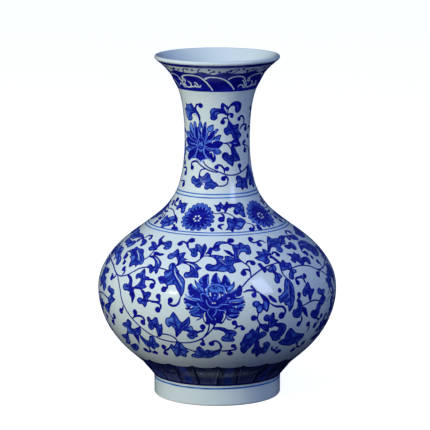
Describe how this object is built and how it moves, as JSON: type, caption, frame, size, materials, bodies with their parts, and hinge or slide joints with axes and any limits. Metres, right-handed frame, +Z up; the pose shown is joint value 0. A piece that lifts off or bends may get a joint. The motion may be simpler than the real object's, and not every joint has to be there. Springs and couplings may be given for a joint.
{
  "type": "porcelain vase",
  "caption": "Bottle vase with a round belly, slim neck and wide flared mouth on a straight foot ring, painted in underglaze blue with lotus scrolls and bands.",
  "frame": {"origin": "centre of the foot's resting face", "axes": "+Z up along the vase's axis of revolution; -Y is the front, where the large lotus flower is painted; +X is to its right"},
  "size_m": [0.2302, 0.2302, 0.33],
  "materials": {
    "bare_clay": "fired bare porcelain, fine and matt",
    "slip": "fired porcelain slip, matt",
    "clear_glaze": "clear glaze with a faint blue-green cast, high gloss",
    "cobalt": "cobalt blue painted under clear glaze, high gloss"
  },
  "bodies": {
    "root": {"foot_ring": "bare_clay", "lower_belly": "bare_clay", "upper_belly": "bare_clay", "neck": "bare_clay", "mouth": "bare_clay", "foot_seam_slip": "slip", "belly_seam_slip": "slip", "shoulder_seam_slip": "slip", "collar_seam_slip": "slip", "outer_glaze": "clear_glaze", "inner_glaze": "clear_glaze", "foot_well_glaze": "clear_glaze", "foot_line": "cobalt", "lappet_ground": "cobalt", "shoulder_lines": "cobalt", "neck_lines": "cobalt", "wave_ground": "cobalt"}
  },
  "joints": []
}
